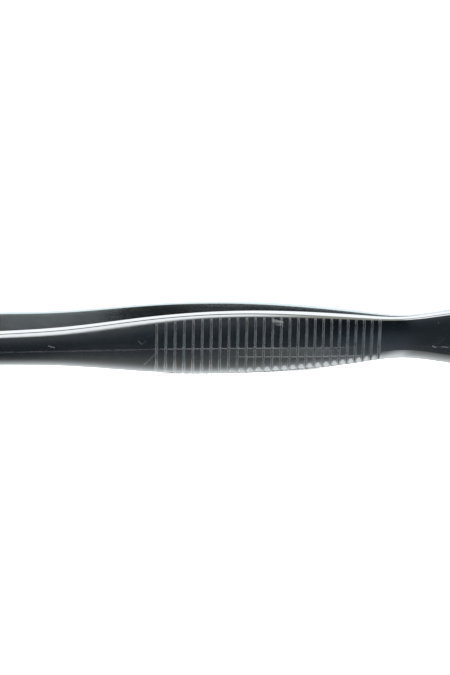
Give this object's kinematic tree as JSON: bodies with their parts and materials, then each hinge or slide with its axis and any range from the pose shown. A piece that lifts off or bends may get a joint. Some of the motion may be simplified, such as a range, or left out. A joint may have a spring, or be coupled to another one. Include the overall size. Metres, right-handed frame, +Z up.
{
  "type": "thumb forceps",
  "caption": "Polished steel thumb forceps with slender tapering jaws, a swelling cross-grooved grip and sprung arms welded together at the heel.",
  "frame": {"origin": "under the middle of the overall length, midway between the arms, at the height of the lowest edge", "axes": "+X from the jaw tips to the heel, +Y from the front arm to the back arm, +Z up with the forceps standing on the lower edges of its arms"},
  "size_m": [0.14, 0.015, 0.0107],
  "materials": {
    "polished_steel": "mirror polished stainless steel on the outer faces and edges, satin on the inner faces"
  },
  "bodies": {
    "root": {"front_arm": "polished_steel", "back_arm": "polished_steel"}
  },
  "joints": []
}
